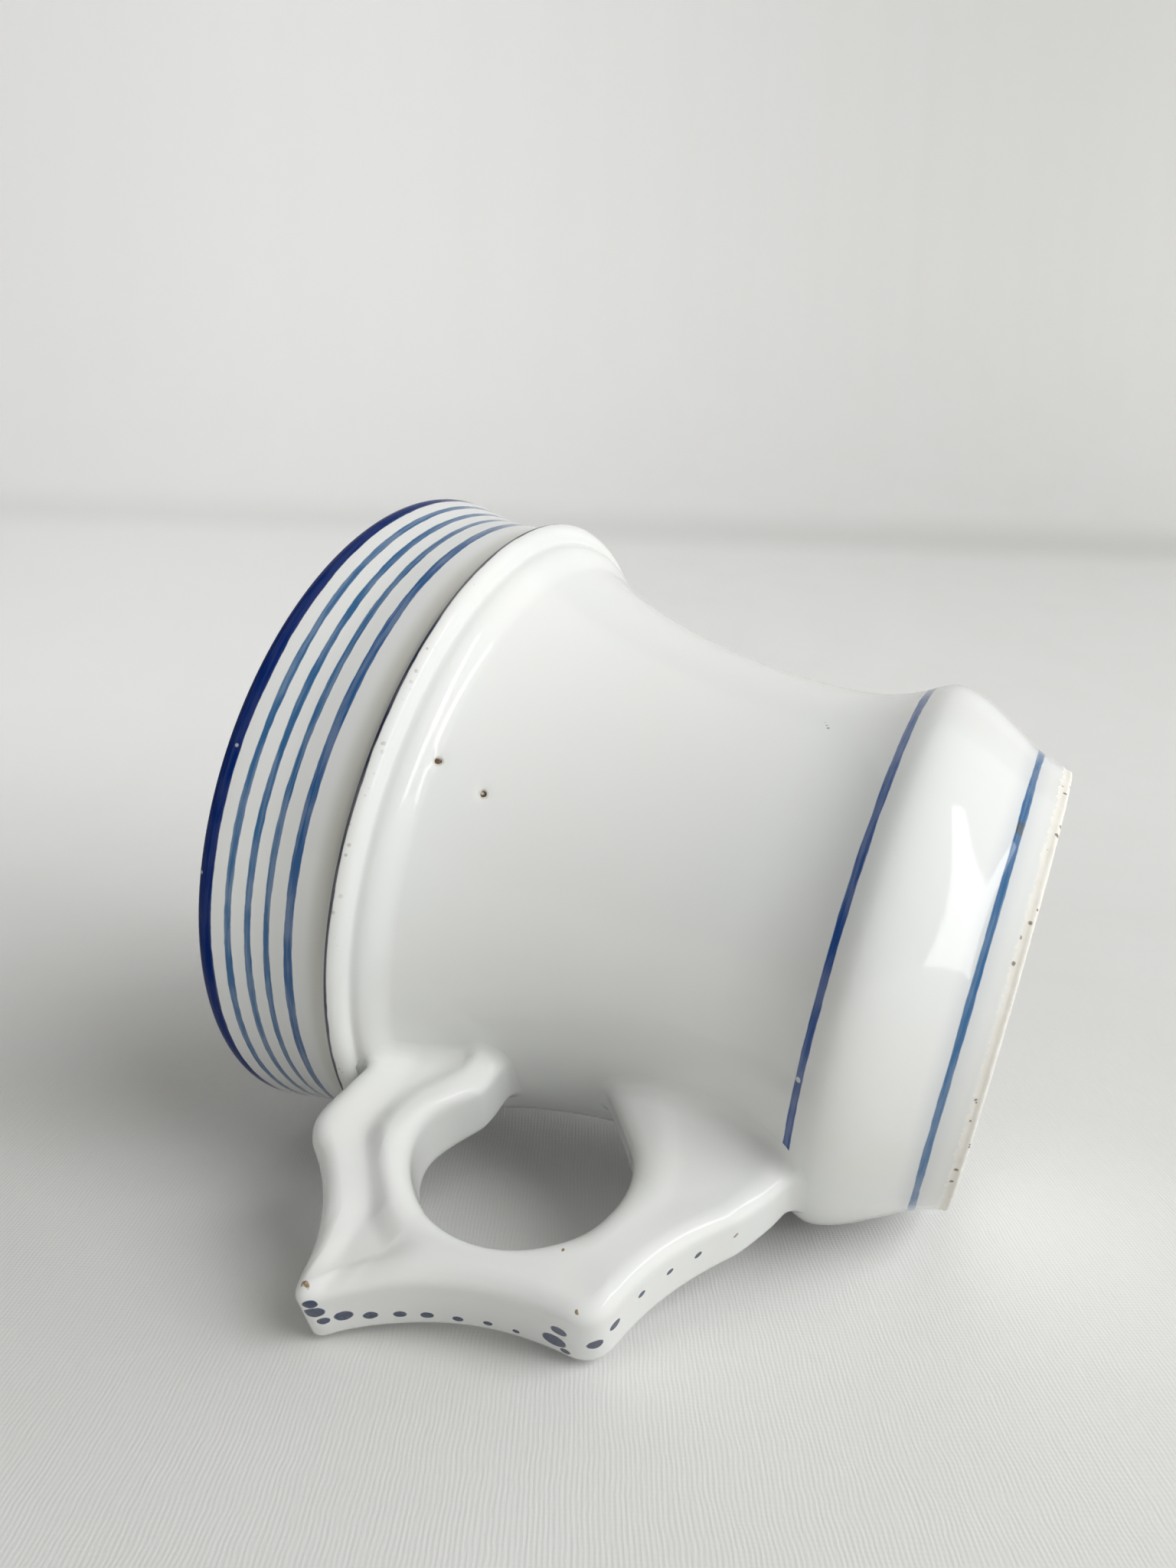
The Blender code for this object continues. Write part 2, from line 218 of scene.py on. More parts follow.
def makeCupBody(materials):
    bm = bmesh.new()
    profile = cupProfile()
    points = [bm.verts.new((point.x, 0, point.y)) for point in profile]
    edges = [bm.edges.new(pair) for pair in zip(points, points[1:])]
    bmesh.ops.spin(bm, geom=points + edges, cent=(0, 0, 0), axis=(0, 0, 1), angle=2 * math.pi,
                   steps=cup["turnSteps"], use_merge=True)
    bmesh.ops.remove_doubles(bm, verts=bm.verts, dist=1e-6)
    bmesh.ops.recalc_face_normals(bm, faces=bm.faces)
    crownRadius = cup["mouthRadius"] + cup["lipRoundIn"]
    wallAt = wallTable(waistWall())
    for face in bm.faces:
        middle = face.calc_center_median()
        belowStep = middle.z < cup["shoulderHeight"] - cupParts["stepMargin"]
        bowlRadius = wallAt(middle.z)[0] - cupParts["wallMargin"] if belowStep else crownRadius
        inside = math.hypot(middle.x, middle.y) < bowlRadius
        if middle.z < cupParts["heightMargin"] and face.normal.z < cupParts["standTilt"]:
            face.material_index = cupParts["bareSlot"]
        elif inside and middle.z > cup["floorHeight"] - cupParts["heightMargin"]:
            face.material_index = cupParts["insideSlot"]
        elif middle.z > cup["height"] - rimHalf - cupParts["lipMargin"]:
            face.material_index = cupParts["lipSlot"]
    for vert in bm.verts:        # the wiped standing edge is uneven
        radius = math.hypot(vert.co.x, vert.co.y)
        if vert.co.z < cupMarks["wornHeight"] and radius > cupMarks["wornRadius"]:
            rough = noise.noise(vert.co * cupMarks["wornInGrain"])
            shrink = 1 - cupMarks["wornIn"] * (1 + rough) / radius
            vert.co.x *= shrink
            vert.co.y *= shrink
            vert.co.z += cupMarks["wornUp"] * max(0.0, noise.noise(vert.co * cupMarks["wornUpGrain"]))
    for place, size in cupMarks["pits"]:
        dentPit(bm, onWall(place), size)
    return finishMesh("cupBody", bm, materials, recalculate=False)


def onWall(place):
    # a place moved straight out or in to the waist wall
    scale = wallTable(waistWall())(place[2])[0] / math.hypot(place[0], place[1])
    return Vector((place[0] * scale, place[1] * scale, place[2]))


def dentPit(bm, middle, size):
    # a crater where a bubble burst in the glaze, in a shallow dimple
    reach = cupMarks["pitPatch"]
    near = [face for face in bm.faces if (face.calc_center_median() - middle).length < reach]
    edges = list(dict.fromkeys(edge for face in near for edge in face.edges))
    bmesh.ops.subdivide_edges(bm, edges=edges, cuts=cupMarks["pitCuts"], use_grid_fill=True)
    bm.normal_update()
    moves = []
    for vert in bm.verts:
        away = (vert.co - middle).length / size
        if away < cupMarks["dimpleWidth"]:
            drop = cupMarks["pitDepth"] * max(0.0, 1 - (away / cupMarks["pitWidth"]) ** 2) ** 2
            dimple = cupMarks["dimple"] * max(0.0, 1 - (away / cupMarks["dimpleWidth"]) ** 2) ** 2
            moves.append((vert, vert.normal * (drop + dimple)))
    for vert, move in moves:
        vert.co -= move


# the handle, a pierced star plate in the XZ plane, luted to the wall with slip
handle = {
    "thickness": 0.0115, "holeRadius": 0.0118, "holeCentre": (0.0442, 0.0430),
    "topCorner": (0.0074, 0.0225), "outerCorner": (0.0246, 0.0129),
    "lowerCorner": (0.0146, -0.0153), "footCorner": (-0.0074, -0.0273),
    "cornerTrims": (0.0038, 0.0031, 0.0033, 0.0031, 0.0030, 0.0030),
    "sags": (0.0, 0.0, 0.0021, 0.0027, 0.0013, 0.0, 0.0),
    "holeEdge": 0.0025, "roundWidth": 0.0105, "outerEdge": 0.0020, "beadFall": 0.0031, "edgeRise": 0.0040,
    "leastSlant": 0.5, "edgesMost": 0.9, "edgeStep": 0.002,
    "dishDepth": 0.0013, "dishStartWidth": 0.0062, "dishFullWidth": 0.0115, "edgeShare": 0.6,
    "dishTurns": (math.radians(-8), math.radians(58)), "flatShare": 0.18,
    "rootTurn": math.radians(168), "outlineDepth": 0.0030, "rootSwell": 0.0014,
    "rootSwellTurn": math.radians(120), "rootDepth": 0.0015, "rootRows": 0.09,
    "rootRound": 0.50, "rootRoundTo": 0.26, "rootThin": 0.12,
    "rootShift": 0.0037, "shiftFrom": 0.0350, "shiftTo": 0.0540,      # the roots lean to the far side
    "holeTurns": (math.radians(-156), math.radians(150)),
    "outlineTurns": (math.radians(-107.7), math.radians(94.3)),
    "rootHeights": ((0.0410, 0.0157), (0.0502, 0.0652)),      # lower and upper, by the hole and outside
    "faceFillet": 0.0026, "holeFillet": 0.0012, "upperFillet": 0.0012, "lowerFillet": 0.0020,
    "filletRows": 10, "filletStep": 0.004, "filletTries": 80, "sidePasses": 8,
    "searchRows": 200, "searchCount": 60, "rows": 300,
    "sunk": 0.00002, "tucked": 0.0004, "buried": 0.0020,
}
holeCentre = Vector(handle["holeCentre"])


def handleOutline():
    # from inside the wall above the finger hole, round the four corners, to inside the wall below it
    reach = handle["holeRadius"] + handle["outlineDepth"]
    turn = handle["rootTurn"]
    upperEnd = Vector((math.cos(turn), math.sin(turn))) * reach
    lowerEnd = Vector((math.cos(turn), -math.sin(turn))) * reach
    corners = [upperEnd, Vector((upperEnd.x, handle["topCorner"][1])),
               Vector(handle["topCorner"]), Vector(handle["outerCorner"]),
               Vector(handle["lowerCorner"]), Vector(handle["footCorner"]),
               Vector((lowerEnd.x, handle["footCorner"][1])), lowerEnd]
    trims = (0.0, *handle["cornerTrims"], 0.0)
    outline = []
    for side, sag in enumerate(handle["sags"]):
        first, last = corners[side], corners[side + 1]
        inward = Vector((last.y - first.y, first.x - last.x)).normalized()
        control = (first + last) / 2 + 2 * sag * inward
        start = first + (control - first).normalized() * trims[side]
        end = last + (control - last).normalized() * trims[side + 1]
        if side:
            outline.append(bowed(outline[-1][-1], first, start, 24))
        outline.append(bowed(start, control, end, 48))
    return chained(*outline)


class Outline:
    # the outline in polar form round the finger hole, by turn and by length along it
    def __init__(self):
        points = handleOutline()
        points.reverse()
        self.turns = [math.atan2(point.y, point.x) for point in points]
        self.reaches = [point.length for point in points]
        self.lengths = [0.0]
        for first, second in zip(points, points[1:]):
            self.lengths.append(self.lengths[-1] + (second - first).length)

    def read(self, keys, values, key):
        low, high = 0, len(keys) - 1
        if key <= keys[0]:
            return values[0]
        if key >= keys[-1]:
            return values[-1]
        while high - low > 1:
            middle = (low + high) // 2
            if keys[middle] <= key:
                low = middle
            else:
                high = middle
        share = (key - keys[low]) / max(keys[high] - keys[low], 1e-12)
        return values[low] + (values[high] - values[low]) * share

    def reachAt(self, turn):
        return self.read(self.turns, self.reaches, turn)

    def lengthAt(self, turn):
        return self.read(self.turns, self.lengths, turn)

    def turnAt(self, length):
        return self.read(self.lengths, self.turns, length)


# one half of a slice through the plate, from the hole's wall over the near face to the outer side
sliceStretches = (("holeWall", 4), ("holeEdge", 8), ("face", 24), ("outerEdge", 8), ("outerSide", 4))
sliceSteps = [(name, step / count) for name, count in sliceStretches for step in range(count)]
sliceSteps.append(("outerSide", 1.0))


class StarPlate:
    # the plate's own shape, in rows from the finger hole to the outline; both end rows lie along the wall
    def __init__(self):
        self.outline = Outline()
        self.wallAt = wallTable(waistWall())
        turns = handle["outlineTurns"]
        self.lengths = [self.outline.lengthAt(turn) for turn in turns]
        self.ends = [self.row(0.0), self.row(1.0)]

    def holeReach(self, turn):
        swell = max(0.0, math.cos(turn - handle["rootSwellTurn"])) ** 8
        return handle["holeRadius"] - handle["rootSwell"] * swell

    def row(self, place):
        # both ends of a row, measured from the middle of the hole
        low, high = handle["holeTurns"]
        turn = low + (high - low) * place
        inner = Vector((math.cos(turn), math.sin(turn))) * self.holeReach(turn)
        length = self.lengths[0] + (self.lengths[1] - self.lengths[0]) * place
        turn = self.outline.turnAt(length)
        outer = Vector((math.cos(turn), math.sin(turn))) * self.outline.reachAt(turn)
        return inner, outer

    def outward(self, place):
        # the outline's own direction outwards at the end of a row
        before = self.row(max(0.0, place - handle["edgeStep"]))[1]
        after = self.row(min(1.0, place + handle["edgeStep"]))[1]
        along = after - before
        return Vector((along.y, -along.x)).normalized()

    def planeSpot(self, place, inner, outer, share):
        spot = inner.lerp(outer, share)
        for end, (holeHeight, outerHeight) in enumerate(handle["rootHeights"]):
            fade = 1 - smoothStep(0, handle["rootRows"], place if end == 0 else 1 - place)
            if fade:
                height = holeHeight + (outerHeight - holeHeight) * share
                radius = self.wallAt(height)[0] - handle["rootDepth"]
                target = Vector((radius, height)) - holeCentre
                spot = spot + (target - self.ends[end][0].lerp(self.ends[end][1], share)) * fade
        return spot

    def dishAt(self, spot):
        # a bead round the hole, a dish beside it and a raised outer edge
        turn = math.atan2(spot.y, spot.x)
        inner = self.holeReach(turn)
        width = max(1e-4, self.outline.reachAt(turn) - inner)
        across = spot.length - inner
        sizes = handle["holeEdge"], handle["beadFall"], handle["edgeRise"], handle["outerEdge"]
        holeEdge, beadFall, edgeRise, outerEdge = [size * min(1.0, width / sum(sizes)) for size in sizes]
        full = smoothStep(handle["dishStartWidth"], handle["dishFullWidth"], width)
        full *= handle["flatShare"] + (1 - handle["flatShare"]) * smoothStep(*handle["dishTurns"], turn)
        fall = smoothStep(holeEdge, holeEdge + beadFall, across)
        rise = smoothStep(width - outerEdge - edgeRise, width - outerEdge, across)
        return handle["dishDepth"] * full * fall * (1 - handle["edgeShare"] * rise)

    def spotAt(self, line, place):
        step, side = line
        name, share = sliceSteps[step]
        inner, outer = self.row(place)
        width = (outer - inner).length
        along = (outer - inner) / width
        holeRound = handle["holeEdge"] * min(1.0, width / handle["roundWidth"])
        holeRound *= 1 + handle["rootRound"] * (1 - smoothStep(0.0, handle["rootRoundTo"], place))
        holeEdge = holeRound / max(handle["leastSlant"], along.dot(inner.normalized())) / width
        outerSlant = max(handle["leastSlant"], along.dot(self.outward(place)))
        outerEdge = handle["outerEdge"] / outerSlant / width
        tight = min(1.0, handle["edgesMost"] / (holeEdge + outerEdge))
        holeEdge, outerEdge = holeEdge * tight, outerEdge * tight
        half = handle["thickness"] / 2
        corner = share * math.pi / 2
        if name == "holeWall":
            across, height = 0.0, (half - holeRound) * share
        elif name == "holeEdge":
            across = holeEdge * (1 - math.cos(corner))
            height = half - holeRound * (1 - math.sin(corner))
        elif name == "face":
            across, height = holeEdge + (1 - outerEdge - holeEdge) * share, half
        elif name == "outerEdge":
            across = 1 - outerEdge * (1 - math.sin(corner))
            height = half - handle["outerEdge"] * (1 - math.cos(corner))
        else:
            across, height = 1.0, (half - handle["outerEdge"]) * (1 - share)
        spot = self.planeSpot(place, inner, outer, across)
        if name == "face":
            height -= self.dishAt(spot)
        elif name in ("outerEdge", "outerSide"):
            edge = self.planeSpot(place, inner, outer, 1 - outerEdge)
            height -= self.dishAt(edge) * height / half
        near = 1 - smoothStep(handle["shiftFrom"], handle["shiftTo"], holeCentre.x + spot.x)
        level = side * height * (1 - handle["rootThin"] * near) - handle["rootShift"] * near
        return Vector((holeCentre.x + spot.x, level, holeCentre.y + spot.y))

    def clearance(self, spot):
        radius, slope = self.wallAt(spot.z)
        return (math.hypot(spot.x, spot.y) - radius) / math.hypot(1, slope)

    def wallNormal(self, spot):
        slope = self.wallAt(spot.z)[1]
        return Vector((spot.x, spot.y, -slope * math.hypot(spot.x, spot.y))).normalized()

    def ontoWall(self, spot, depth):
        radius, slope = self.wallAt(spot.z)
        scale = (radius - depth * math.hypot(1, slope)) / math.hypot(spot.x, spot.y)
        return Vector((spot.x * scale, spot.y * scale, spot.z))


def filletAt(step, sideFillet):
    # a wide fillet on the plate's faces, a tight one on its narrow sides
    name, share = sliceSteps[step]
    onHole = name in ("holeWall", "holeEdge")
    tight = handle["holeFillet"] if onHole else sideFillet
    faceShares = {"holeWall": 0.0, "holeEdge": share, "face": 1.0, "outerEdge": 1 - share, "outerSide": 0.0}
    faceShare = faceShares[name]
    return tight + (handle["faceFillet"] - tight) * smoothStep(0, 1, faceShare)


def halved(test, clear, met):
    for turn in range(30):
        middle = (clear + met) / 2
        clear, met = (middle, met) if test(middle) else (clear, middle)
    return (clear + met) / 2


def rootOf(plate, lines, end, sideFillet):
    # where each lengthwise line meets the wall, and the fillet that it takes there
    rows = handle["searchRows"]
    places = [step / rows if end == 0 else 1 - step / rows for step in range(handle["searchCount"], -1, -1)]
    pierced = []
    for line in lines:
        def isClear(place):
            return plate.clearance(plate.spotAt(line, place)) > 0

        met = next(i for i, place in enumerate(places) if not isClear(place))
        pierced.append(halved(isClear, places[met - 1], places[met]))
    spots = [plate.spotAt(line, place) for line, place in zip(lines, pierced)]
    centre = sum(spots, Vector()) / len(spots)
    sides = [(spots[(i + 1) % len(spots)] - spots[i - 1]).cross(plate.wallNormal(spot)).normalized()
             for i, spot in enumerate(spots)]
    if sum((spot - centre).dot(side) for spot, side in zip(spots, sides)) < 0:
        sides = [-side for side in sides]
    for turn in range(handle["sidePasses"]):
        sides = [(sides[i - 1] + side + sides[(i + 1) % len(sides)]).normalized()
                 for i, side in enumerate(sides)]
    roots = []
    for line, place, spot, side in zip(lines, pierced, spots, sides):
        size = filletAt(line[0], sideFillet)
        step = handle["filletStep"] if end == 0 else -handle["filletStep"]
        tries = [place + step * i for i in range(handle["filletTries"])]

        def isPast(tried):
            return (plate.spotAt(line, tried) - spot).length > size

        far = next(i for i, tried in enumerate(tries) if isPast(tried))
        near = halved(isPast, tries[far], tries[far - 1])
        start = plate.spotAt(line, near)
        foot = plate.ontoWall(spot + side * size, handle["sunk"])
        flat = plate.wallNormal(foot)
        along = (side - flat * side.dot(flat)).normalized()
        arc = bowed(start, foot - along * size, foot, handle["filletRows"])
        under = plate.ontoWall(foot + along * handle["tucked"], handle["sunk"] * 3)
        roots.append((near, arc[1:] + [under, plate.ontoWall(under, handle["buried"])]))
    return roots


def makeHandle(materials):
    plate = StarPlate()
    half = len(sliceSteps)
    lines = [(step, 1) for step in range(half)] + [(step, -1) for step in range(half - 2, 0, -1)]
    lower = rootOf(plate, lines, 0, handle["lowerFillet"])
    upper = rootOf(plate, lines, 1, handle["upperFillet"])
    rowCount = 2 * (handle["filletRows"] + 1) + handle["rows"] + 1
    bm = bmesh.new()      # a grid with one lane for each lengthwise line, closed into a sleeve
    bmesh.ops.create_grid(bm, x_segments=rowCount - 1, y_segments=len(lines), size=0.01)
    bm.verts.ensure_lookup_table()
    for lane in range(len(lines) + 1):
        line = lines[lane % len(lines)]
        lowPlace, lowArc = lower[lane % len(lines)]
        highPlace, highArc = upper[lane % len(lines)]
        middle = [plate.spotAt(line, lowPlace + (highPlace - lowPlace) * row / handle["rows"])
                  for row in range(handle["rows"] + 1)]
        for row, spot in enumerate(lowArc[::-1] + middle + highArc):
            bm.verts[lane * rowCount + row].co = spot
    bmesh.ops.remove_doubles(bm, verts=bm.verts, dist=1e-7)
    bmesh.ops.holes_fill(bm, edges=[edge for edge in bm.edges if edge.is_boundary], sides=0)
    return finishMesh("starHandle", bm, materials)


# the camera, at the place that the photograph was taken from
cameraSet = {
    "place": (0.097334, 0.115998, 0.003845), "turn": (142.9724, 64.5029, -173.5369),
    "focalPixels": 1527.549, "longSide": 2048, "sensor": 36.0, "clip": (0.005, 20),
}


def makeCamera():
    data = bpy.data.cameras.new("camera")
    data.sensor_width = cameraSet["sensor"]
    data.lens = cameraSet["focalPixels"] * cameraSet["sensor"] / cameraSet["longSide"]
    data.clip_start, data.clip_end = cameraSet["clip"]
    camera = bpy.data.objects.new("camera", data)
    camera.location = cameraSet["place"]
    camera.rotation_euler = Euler([math.radians(angle) for angle in cameraSet["turn"]])
    bpy.context.scene.collection.objects.link(camera)
    bpy.context.scene.camera = camera
    return camera


# the table and backdrop: the cup lies on its side, on its shoulder, its bulge and a corner of the handle
table = {
    "turn": math.radians(-56.916), "slope": 0.174965, "reach": 0.0315899,
    "near": -1.2, "flatEnd": 0.16, "risePull": (0.20, 0), "riseEndPull": (-0.14, -0.045),
    "riseEnd": (0.62, 0.115), "turnPull": (0.10, 0.032), "wallPull": (0, -0.12), "wallFoot": 0.80,
    "wallFootRise": 0.22, "wallTop": 1.6, "side": 1.6,
    "colour": (0.782, 0.782, 0.772), "shade": (0.76, 0.76, 0.745), "thread": 0.00046,
    # the darker band along the fold, where the floor turns up into the backdrop, is a painted shadow
    "foldShadow": 0.645, "foldShadowHalf": 0.05, "foldPaintedShadow": (0.60, 0.60, 0.585),
    # painted light: the cloth's glow, growing towards the back and towards the left
    "paintedLightFrom": -0.02, "paintedLightTo": 0.386, "paintedLight": (0.02, 0.235), "paintedLightSide": 0.35, "paintedLightSides": (1.3, 0.1),
}


def tableAxes(camera):
    down = Vector((math.cos(table["turn"]), math.sin(table["turn"]), -table["slope"]))
    origin = down * (table["reach"] / down.length_squared)
    up = -down.normalized()
    cameraRight = camera.rotation_euler.to_matrix() @ Vector((1, 0, 0))
    right = (cameraRight - up * cameraRight.dot(up)).normalized()
    return origin, right, up.cross(right), up


def makeTable(axes, material):
    origin, right, away, up = axes
    flatEnd, riseEnd = (table["flatEnd"], 0), table["riseEnd"]
    wallFoot = (table["wallFoot"], riseEnd[1] + table["wallFootRise"])
    chain = chained(
        [(table["near"], 0), flatEnd],
        pulled(flatEnd, table["risePull"], table["riseEndPull"], riseEnd, 24),
        pulled(riseEnd, table["turnPull"], table["wallPull"], wallFoot, 16),
        [(table["wallFoot"], table["wallTop"])],
    )
    bm = bmesh.new()
    toLeft = right * table["side"]
    verts = [bm.verts.new(origin + away * point.x + up * point.y - toLeft) for point in chain]
    edges = [bm.edges.new(pair) for pair in zip(verts, verts[1:])]
    swept = bmesh.ops.extrude_edge_only(bm, edges=edges)
    moved = [item for item in swept["geom"] if isinstance(item, bmesh.types.BMVert)]
    bmesh.ops.translate(bm, verts=moved, vec=right * 2 * table["side"])
    bm.normal_update()
    if sum(face.normal.dot(up) for face in bm.faces) < 0:
        bmesh.ops.reverse_faces(bm, faces=bm.faces)
    return finishMesh("tableCloth", bm, [material], recalculate=False)


# the lights: a window to the right behind the camera, soft light from above and from the right, a pale room
windowLight = {"right": 0.76, "away": -0.55, "up": 0.33, "width": 0.12, "height": 1.05, "power": 1.4,
               "lean": math.radians(-34), "mirrored": True}
skyLight = {"right": 0.52, "away": -0.55, "up": 0.65, "width": 0.60, "height": 0.60, "power": 6.45,
            "lean": 0.0, "mirrored": False}
sideLight = {"right": 0.95, "away": 0.15, "up": 0.45, "width": 0.8, "height": 0.8, "power": 3.5,
             "lean": 0.0, "mirrored": False}
room = {"colour": (1.0, 0.982, 0.945), "lit": 0.25, "shown": 0.62,
        "mirrored": (0.20, 0.62), "mirrorTurn": (-0.8, 0.6)}


def makeLight(name, axes, values):
    origin, right, away, up = axes
    data = bpy.data.lights.new(name, "AREA")
    data.shape = "RECTANGLE"
    data.size, data.size_y = values["width"], values["height"]
    data.energy = values["power"]
    lamp = bpy.data.objects.new(name, data)
    place = right * values["right"] + away * values["away"] + up * values["up"]
    lamp.location = origin + place
    back = place.normalized()
    across = back.cross(up).normalized()
    tall = across.cross(back) * math.cos(values["lean"]) + across * math.sin(values["lean"])
    lamp.rotation_euler = Matrix((tall.cross(back), tall, back)).transposed().to_euler()
    lamp.visible_glossy = values["mirrored"]
    lamp.visible_camera = False
    bpy.context.scene.collection.objects.link(lamp)


def makeRoom(axes):
    # even light all round; mirrored in the glaze, the room is dark to the left and pale to the right
    world = bpy.data.worlds.new("room")
    bpy.context.scene.world = world
    world.use_nodes = True
    tree = world.node_tree
    shader = tree.nodes["Background"]
    shader.inputs["Color"].default_value = (*room["colour"], 1)
    path = addNode(tree, "ShaderNodeLightPath").outputs
    toward = addNode(tree, "ShaderNodeTexCoord").outputs["Generated"]
    right = axes[1]
    sideways = vectorMath(tree, "DOT_PRODUCT", toward, right, "Value")
    mirrored = fade(tree, sideways, *room["mirrorTurn"], *room["mirrored"])
    seen = calc(tree, "ADD", path["Is Camera Ray"], path["Is Transmission Ray"], clamp=True)
    strength = calc(tree, "MULTIPLY_ADD", seen, room["shown"] - room["lit"], room["lit"])
    change = calc(tree, "SUBTRACT", mirrored, room["lit"])
    strength = calc(tree, "MULTIPLY_ADD", path["Is Glossy Ray"], change, strength)
    tree.links.new(strength, shader.inputs["Strength"])


# materials and the nodes that make them up
def putInto(tree, socket, value):
    if isinstance(value, bpy.types.NodeSocket):
        tree.links.new(value, socket)
    else:
        socket.default_value = value


def addNode(tree, kind, inputs=None, **settings):
    node = tree.nodes.new(kind)
    for name, value in settings.items():
        setattr(node, name, value)
    for name, value in (inputs or {}).items():
        putInto(tree, node.inputs[name], value)
    return node


def calc(tree, operation, *values, clamp=False):
    node = addNode(tree, "ShaderNodeMath", operation=operation, use_clamp=clamp)
    for place, value in enumerate(values):
        putInto(tree, node.inputs[place], value)
    return node.outputs[0]


def vectorMath(tree, operation, first, second, output="Vector"):
    node = addNode(tree, "ShaderNodeVectorMath", {0: first, 1: second}, operation=operation)
    return node.outputs[output]


def fade(tree, value, low, high, fromValue=0.0, toValue=1.0):
    return addNode(tree, "ShaderNodeMapRange", {"Value": value, "From Min": low, "From Max": high,
                   "To Min": fromValue, "To Max": toValue}, interpolation_type="SMOOTHSTEP").outputs[0]


def ringAt(tree, height, level, inner, outer, strength):
    # full strength within the inner reach of a level, nothing past the outer one
    away = calc(tree, "ABSOLUTE", calc(tree, "SUBTRACT", height, level))
    return fade(tree, away, inner, outer, strength, 0.0)


def blendColour(tree, share, first, second):
    node = addNode(tree, "ShaderNodeMix", data_type="RGBA")      # sockets 6 and 7 in and 2 out hold colours
    for place, value in ((0, share), (6, first), (7, second)):
        if place and not isinstance(value, bpy.types.NodeSocket):
            value = (*value, 1)
        putInto(tree, node.inputs[place], value)
    return node.outputs[2]


def stained(tree, colour, mask, share, tint):
    # a share of a tint over a colour, where the mask is
    return blendColour(tree, calc(tree, "MULTIPLY", mask, share), colour, tint)


def objectSpot(tree):
    return addNode(tree, "ShaderNodeTexCoord").outputs["Object"]


def noiseAt(tree, spot, scale, detail=2.0, roughness=0.5):
    return addNode(tree, "ShaderNodeTexNoise", {"Vector": spot, "Scale": scale, "Detail": detail,
                   "Roughness": roughness}).outputs["Fac"]


def swing(tree, spot, scale, detail=2.0, roughness=0.5):
    # noise that goes as far below zero as above it
    return calc(tree, "SUBTRACT", noiseAt(tree, spot, scale, detail, roughness), 0.5)


def newMaterial(name):
    material = bpy.data.materials.new(name)
    material.use_nodes = True
    tree = material.node_tree
    return material, tree, tree.nodes["Principled BSDF"]


def addBump(tree, shader, height, strength, distance):
    bump = addNode(tree, "ShaderNodeBump", {"Height": height, "Strength": strength, "Distance": distance})
    tree.links.new(bump.outputs["Normal"], shader.inputs["Normal"])


def newGroup(name, output, **inputs):
    # a group that puts out one value; an input with no number of its own is a place
    tree = bpy.data.node_groups.new(name, "ShaderNodeTree")
    for label, value in inputs.items():
        kind = "NodeSocketVector" if value is None else "NodeSocketFloat"
        socket = tree.interface.new_socket(name=label, in_out="INPUT", socket_type=kind)
        if value is not None:
            socket.default_value = value
    tree.interface.new_socket(name=output, in_out="OUTPUT", socket_type="NodeSocketFloat")
    return tree, tree.nodes.new("NodeGroupInput").outputs, tree.nodes.new("NodeGroupOutput").inputs[output]


def useGroup(tree, group, **inputs):
    node = addNode(tree, "ShaderNodeGroup", node_tree=group)
    for name, value in inputs.items():
        putInto(tree, node.inputs[name], value)
    return node.outputs[0]


# noise scales, and how much each kind of noise counts for
brush = {
    "slowScale": 45, "slowShare": 2.0, "quickScale": 520, "flattened": (1, 1, 0.2),
    "swellScale": 170, "swell": 0.00030, "feather": 0.00007,
    "along": 130.0, "across": 2600.0, "streakShare": 0.6, "cloudScale": 160, "cloudShare": 0.4,
    "density": (0.34, 0.66), "thin": 0.16, "rimThin": 0.03, "insideThin": 0.08,
}
dabs = {"raggedScale": 900, "core": 0.82, "speckCore": 0.55, "speckSizes": (1.2, 0.4)}
skin = {"broadScale": 95, "fineScale": 700, "fine": 0.12, "depth": 0.00035, "strength": 0.10}


def paintedLineGroup():
    # a hand-banded ring of underglaze paint, at a height, with the brush's wander and swelling
    tree, given, mask = newGroup("paintedLine", "Mask", Level=0.08, HalfWidth=0.0004, Wander=0.0001,
                                 Feather=brush["feather"])
    spot = objectSpot(tree)
    height = addNode(tree, "ShaderNodeSeparateXYZ", {0: spot}).outputs["Z"]
    around = vectorMath(tree, "MULTIPLY", spot, brush["flattened"])
    slow = calc(tree, "MULTIPLY", swing(tree, around, brush["slowScale"], 1), brush["slowShare"])
    quick = swing(tree, spot, brush["quickScale"])
    wander = calc(tree, "MULTIPLY", calc(tree, "ADD", slow, quick), given["Wander"])
    away = calc(tree, "SUBTRACT", calc(tree, "ADD", height, wander), given["Level"])
    away = calc(tree, "ABSOLUTE", away)
    swell = swing(tree, around, brush["swellScale"], 3)
    half = calc(tree, "MULTIPLY_ADD", swell, brush["swell"], given["HalfWidth"])
    low = calc(tree, "SUBTRACT", half, given["Feather"])
    high = calc(tree, "ADD", half, given["Feather"])
    tree.links.new(fade(tree, away, low, high, 1.0, 0.0), mask)
    return tree


def brushGroup():
    # streaks of thin and thick paint, drawn out round the cup
    tree, given, density = newGroup("brushStreaks", "Density", Across=brush["across"])
    spot = objectSpot(tree)
    lengths = {"X": brush["along"], "Y": brush["along"], "Z": given["Across"]}
    stretch = addNode(tree, "ShaderNodeCombineXYZ", lengths).outputs[0]
    drawn = vectorMath(tree, "MULTIPLY", spot, stretch)
    streak = calc(tree, "MULTIPLY", noiseAt(tree, drawn, 1.0, 3, 0.6), brush["streakShare"])
    cloud = calc(tree, "MULTIPLY", noiseAt(tree, spot, brush["cloudScale"]), brush["cloudShare"])
    tree.links.new(fade(tree, calc(tree, "ADD", streak, cloud), *brush["density"]), density)
    return tree


